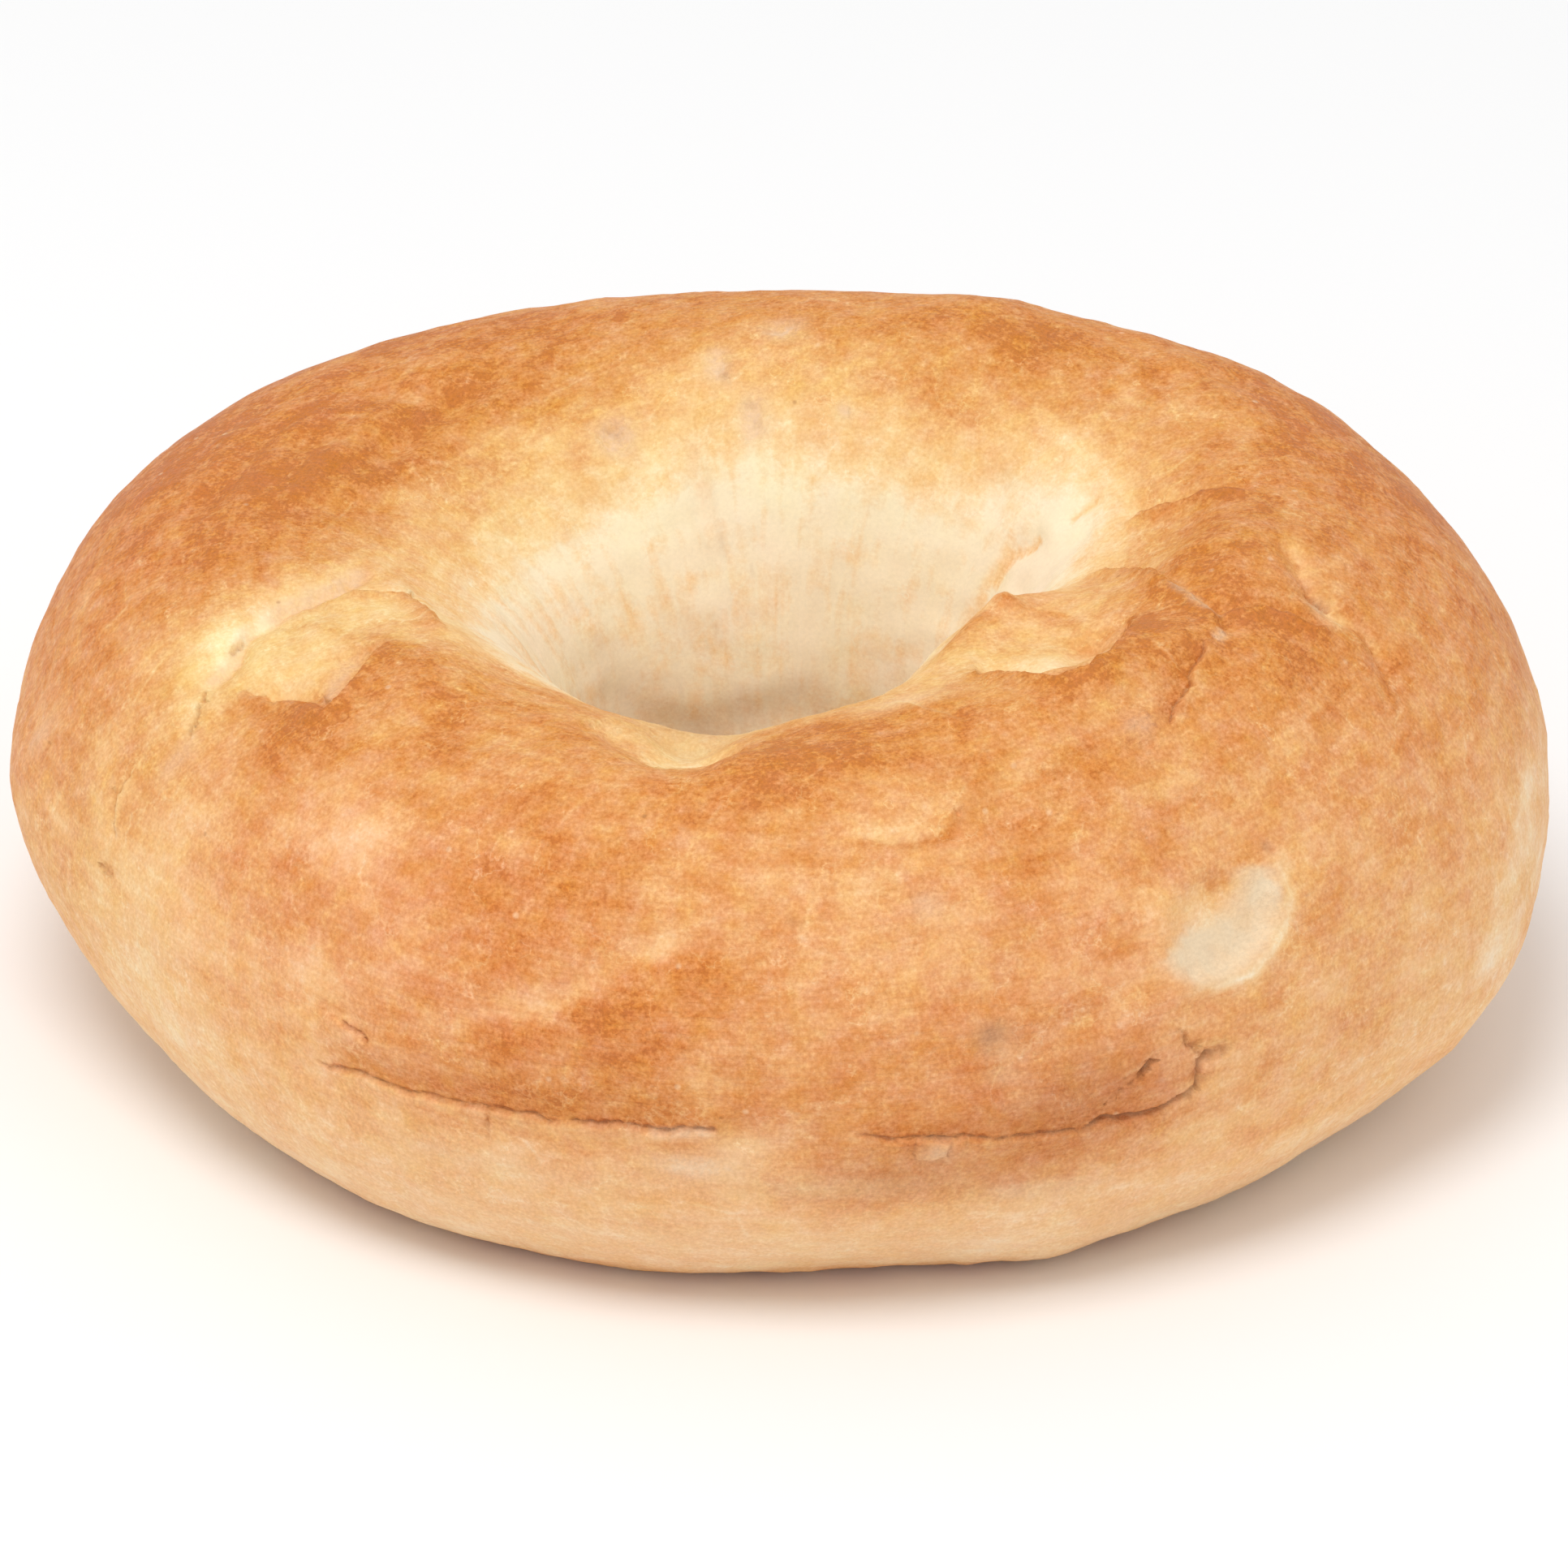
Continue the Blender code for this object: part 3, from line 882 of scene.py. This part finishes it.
def crust_material():
    """Baked crust: colour from the toast, grey and flour values, with painted shade from the grey and dark values
    and painted highlights as pale specks, mottled and streaked along the rolled dough.
    """
    material = bpy.data.materials.new("baked_crust")
    material.use_nodes = True
    nodes = material.node_tree.nodes
    links = material.node_tree.links
    shader = nodes["Principled BSDF"]

    def plug(source, socket):
        """Sets a socket to a number or colour, or links it."""
        if isinstance(source, bpy.types.NodeSocket):
            links.new(source, socket)
        else:
            socket.default_value = source

    def value_of(name):
        node = nodes.new("ShaderNodeAttribute")
        node.attribute_name = name
        return node.outputs["Fac"]

    def maths(operation, first, second=0.0):
        node = nodes.new("ShaderNodeMath")
        node.operation = operation
        plug(first, node.inputs[0])
        plug(second, node.inputs[1])
        return node.outputs[0]

    def mottle(vector, scale, detail, depth=None):
        """Noise from about -0.3 to 0.3."""
        node = nodes.new("ShaderNodeTexNoise")
        node.inputs["Scale"].default_value = scale
        node.inputs["Detail"].default_value = detail
        node.inputs["Roughness"].default_value = 0.6
        links.new(vector, node.inputs["Vector"])
        if depth is not None:
            node.noise_dimensions = "4D"
            links.new(depth, node.inputs["W"])
        return maths("SUBTRACT", node.outputs["Fac"], 0.5)

    def blend(amount, first, second):
        node = nodes.new("ShaderNodeMix")
        node.data_type = "RGBA"
        plug(amount, node.inputs[0])
        plug(first, node.inputs[6])
        plug(second, node.inputs[7])
        return node.outputs[2]

    def specks(vector, scale, size, share):
        """Small round dots, in only a share of the cells."""
        cells = nodes.new("ShaderNodeTexVoronoi")
        cells.inputs["Scale"].default_value = scale
        links.new(vector, cells.inputs["Vector"])
        red = nodes.new("ShaderNodeSeparateColor")
        links.new(cells.outputs["Color"], red.inputs[0])
        chosen = maths("LESS_THAN", red.outputs[0], share)
        dot = nodes.new("ShaderNodeMapRange")
        links.new(cells.outputs["Distance"], dot.inputs["Value"])
        dot.inputs["From Min"].default_value = size
        dot.inputs["From Max"].default_value = size * 0.4
        return maths("MULTIPLY", dot.outputs[0], chosen)

    def veins(vector, stray, scale):
        """A broken net of thin lines."""
        bent = nodes.new("ShaderNodeVectorMath")
        bent.operation = "ADD"
        links.new(vector, bent.inputs[0])
        links.new(maths("MULTIPLY", stray, 0.012), bent.inputs[1])
        cells = nodes.new("ShaderNodeTexVoronoi")
        cells.feature = "DISTANCE_TO_EDGE"
        cells.inputs["Scale"].default_value = scale
        links.new(bent.outputs[0], cells.inputs["Vector"])
        line = nodes.new("ShaderNodeMapRange")
        links.new(cells.outputs["Distance"], line.inputs["Value"])
        line.inputs["From Min"].default_value = 0.035
        line.inputs["From Max"].default_value = 0.0
        broken = nodes.new("ShaderNodeMapRange")
        links.new(stray, broken.inputs["Value"])
        broken.inputs["From Min"].default_value = -0.08
        broken.inputs["From Max"].default_value = 0.12
        return maths("MULTIPLY", line.outputs[0], broken.outputs[0])

    place = nodes.new("ShaderNodeTexCoord").outputs["Object"]
    rolled = nodes.new("ShaderNodeCombineXYZ")
    links.new(maths("MULTIPLY", value_of("round_ring_cosine"), 6.0), rolled.inputs["X"])
    links.new(maths("MULTIPLY", value_of("round_ring_sine"), 6.0), rolled.inputs["Y"])
    links.new(maths("MULTIPLY", value_of("round_rope_cosine"), 20.0), rolled.inputs["Z"])
    fibre = mottle(rolled.outputs[0], 2.2, 5, maths("MULTIPLY", value_of("round_rope_sine"), 20.0))
    grain = mottle(place, GRAIN_SCALE, 2)
    mealy = mottle(place, MEALY_SCALE, 3)
    patchy = mottle(place, PATCHY_SCALE, 4)
    honey = mottle(place, HONEY_SCALE, 4)

    baked = value_of("toast")
    vigour = maths("ADD", maths("MULTIPLY", baked, 1.1), 0.08)
    change = maths("ADD", maths("MULTIPLY", mealy, MEALY_TOAST), maths("MULTIPLY", patchy, PATCHY_TOAST))
    change = maths("ADD", change, maths("MULTIPLY", fibre, FIBRE_TOAST))
    change = maths("SUBTRACT", change, maths("MULTIPLY", grain, GRAIN_TOAST))
    net = veins(place, patchy, VEIN_SCALE)
    change = maths("SUBTRACT", change, maths("MULTIPLY", net, VEIN_TOAST))
    toast = maths("ADD", baked, maths("MULTIPLY", change, vigour))
    ramp = nodes.new("ShaderNodeValToRGB")
    links.new(toast, ramp.inputs["Fac"])
    stops = ramp.color_ramp.elements
    while len(stops) < len(CRUST_COLOURS):
        stops.new(0.5)
    for stop, (position, colour) in zip(stops, CRUST_COLOURS):
        stop.position = position
        stop.color = (*colour, 1)

    tint = nodes.new("ShaderNodeCombineXYZ")
    tint.inputs["X"].default_value = 1.0
    warm = maths("MULTIPLY", value_of("yellow"), YELLOW_STRENGTH)
    links.new(maths("ADD", warm, 1.0), tint.inputs["Y"])
    rich = maths("MULTIPLY", maths("MULTIPLY", honey, vigour), HONEY_STRENGTH)
    links.new(maths("ADD", rich, 1.0), tint.inputs["Z"])
    tinted = nodes.new("ShaderNodeVectorMath")
    tinted.operation = "MULTIPLY"
    links.new(ramp.outputs["Color"], tinted.inputs[0])
    links.new(tint.outputs[0], tinted.inputs[1])

    # Painted shade deep in the hole and low on the sides, with the grey spots and blister film, mixed in from the
    # grey value.
    grey_and_shade = maths("MULTIPLY", value_of("grey_and_painted_shade"), maths("ADD", maths("MULTIPLY", patchy, 1.2), 0.9))
    colour = blend(grey_and_shade, tinted.outputs[0], GREY_SKIN_AND_SHADE)
    dry = maths("MULTIPLY", value_of("flour"), maths("ADD", maths("MULTIPLY", mealy, 2.4), 0.9))
    colour = blend(dry, colour, FLOURY_SKIN)
    # Dark marks, and painted shade in the cracks, below the hole's lip and in broad patches low on the front and
    # at the back edges.
    colour = blend(value_of("dark_marks_and_shade"), colour, DARK_MARK_AND_SHADE)
    dots = maths("MULTIPLY", specks(place, SPECK_SCALE, 0.05, 0.3), 0.45)
    colour = blend(dots, colour, BROWN_SPECK)
    # Painted highlights: pale specks in the colour that stand in for glints, more on the browner crust.
    painted_sparkle = specks(place, PAINTED_SPARKLE_SCALE, 0.13, 0.25)
    painted_sparkle = maths("MULTIPLY", painted_sparkle, maths("MULTIPLY", vigour, 0.4))
    colour = blend(painted_sparkle, colour, PAINTED_SPARKLE)
    shade = maths("MULTIPLY", maths("MULTIPLY", grain, GRAIN_SHADE), maths("ADD", vigour, 0.35))
    shade = maths("ADD", shade, 1.0)
    grained = nodes.new("ShaderNodeVectorMath")
    grained.operation = "SCALE"
    links.new(colour, grained.inputs[0])
    links.new(shade, grained.inputs["Scale"])
    links.new(grained.outputs[0], shader.inputs["Base Color"])

    rough = maths("ADD", 0.66, maths("MULTIPLY", mealy, 0.4))
    links.new(maths("SUBTRACT", rough, maths("MULTIPLY", baked, 0.15)), shader.inputs["Roughness"])
    shader.inputs["Specular IOR Level"].default_value = 0.25

    bump = nodes.new("ShaderNodeBump")
    bump.inputs["Strength"].default_value = 0.6
    bump.inputs["Distance"].default_value = 0.0004
    height = maths("ADD", maths("MULTIPLY", grain, 0.35), maths("MULTIPLY", fibre, 0.8))
    height = maths("MULTIPLY", maths("ADD", height, mealy), vigour)
    links.new(height, bump.inputs["Height"])
    links.new(bump.outputs["Normal"], shader.inputs["Normal"])
    return material


# The room
BAGEL_MIDDLE = 0.02
ROOM_BRIGHTNESS = 0.75
CAMERA_LENS = 213.6
CAMERA_SENSOR = 36.0
CAMERA_TARGET = Vector((0.0004, -0.0017, 0.0194))
CAMERA_DISTANCE = 0.7
CAMERA_ELEVATION = math.radians(28.0)


def floor_material():
    material = bpy.data.materials.new("pale_floor")
    material.use_nodes = True
    shader = material.node_tree.nodes["Principled BSDF"]
    shader.inputs["Base Color"].default_value = (0.96, 0.96, 0.96, 1)
    shader.inputs["Roughness"].default_value = 0.9
    shader.inputs["Specular IOR Level"].default_value = 0.1
    return material


def make_floor():
    sheet = bmesh.new()
    bmesh.ops.create_grid(sheet, x_segments=1, y_segments=1, size=2.0)
    mesh = bpy.data.meshes.new("floor")
    sheet.to_mesh(mesh)
    sheet.free()
    mesh.materials.append(floor_material())
    floor = bpy.data.objects.new("floor", mesh)
    bpy.context.scene.collection.objects.link(floor)


def soft_light(name, place, size, power):
    """A round lamp of soft light, turned to the bagel."""
    lamp = bpy.data.lights.new(name, "AREA")
    lamp.shape = "DISK"
    lamp.size = size
    lamp.energy = power
    light = bpy.data.objects.new(name, lamp)
    light.location = place
    light.rotation_euler = (Vector((0, 0, BAGEL_MIDDLE)) - Vector(place)).to_track_quat("-Z", "Y").to_euler()
    bpy.context.scene.collection.objects.link(light)


def make_light():
    world = bpy.data.worlds.new("white_room")
    world.use_nodes = True
    world.node_tree.nodes["Background"].inputs["Color"].default_value = (1, 1, 1, 1)
    world.node_tree.nodes["Background"].inputs["Strength"].default_value = ROOM_BRIGHTNESS
    bpy.context.scene.world = world
    soft_light("overhead", (-0.12, -0.3, 0.8), 0.4, 2.9)


def make_camera():
    camera = bpy.data.objects.new("camera", bpy.data.cameras.new("camera"))
    camera.data.lens = CAMERA_LENS
    camera.data.sensor_width = CAMERA_SENSOR
    backwards = Vector((0, -math.cos(CAMERA_ELEVATION), math.sin(CAMERA_ELEVATION)))
    camera.location = CAMERA_TARGET + CAMERA_DISTANCE * backwards
    camera.rotation_euler = (CAMERA_TARGET - camera.location).to_track_quat("-Z", "Y").to_euler()
    bpy.context.scene.collection.objects.link(camera)
    bpy.context.scene.camera = camera


bpy.context.scene.view_settings.view_transform = "Standard"
make_camera()
make_floor()
make_light()
bagel = finished_crust(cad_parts["bagel"])
bagel.data.materials.append(crust_material())
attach(bagel, "root")
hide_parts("bagel")
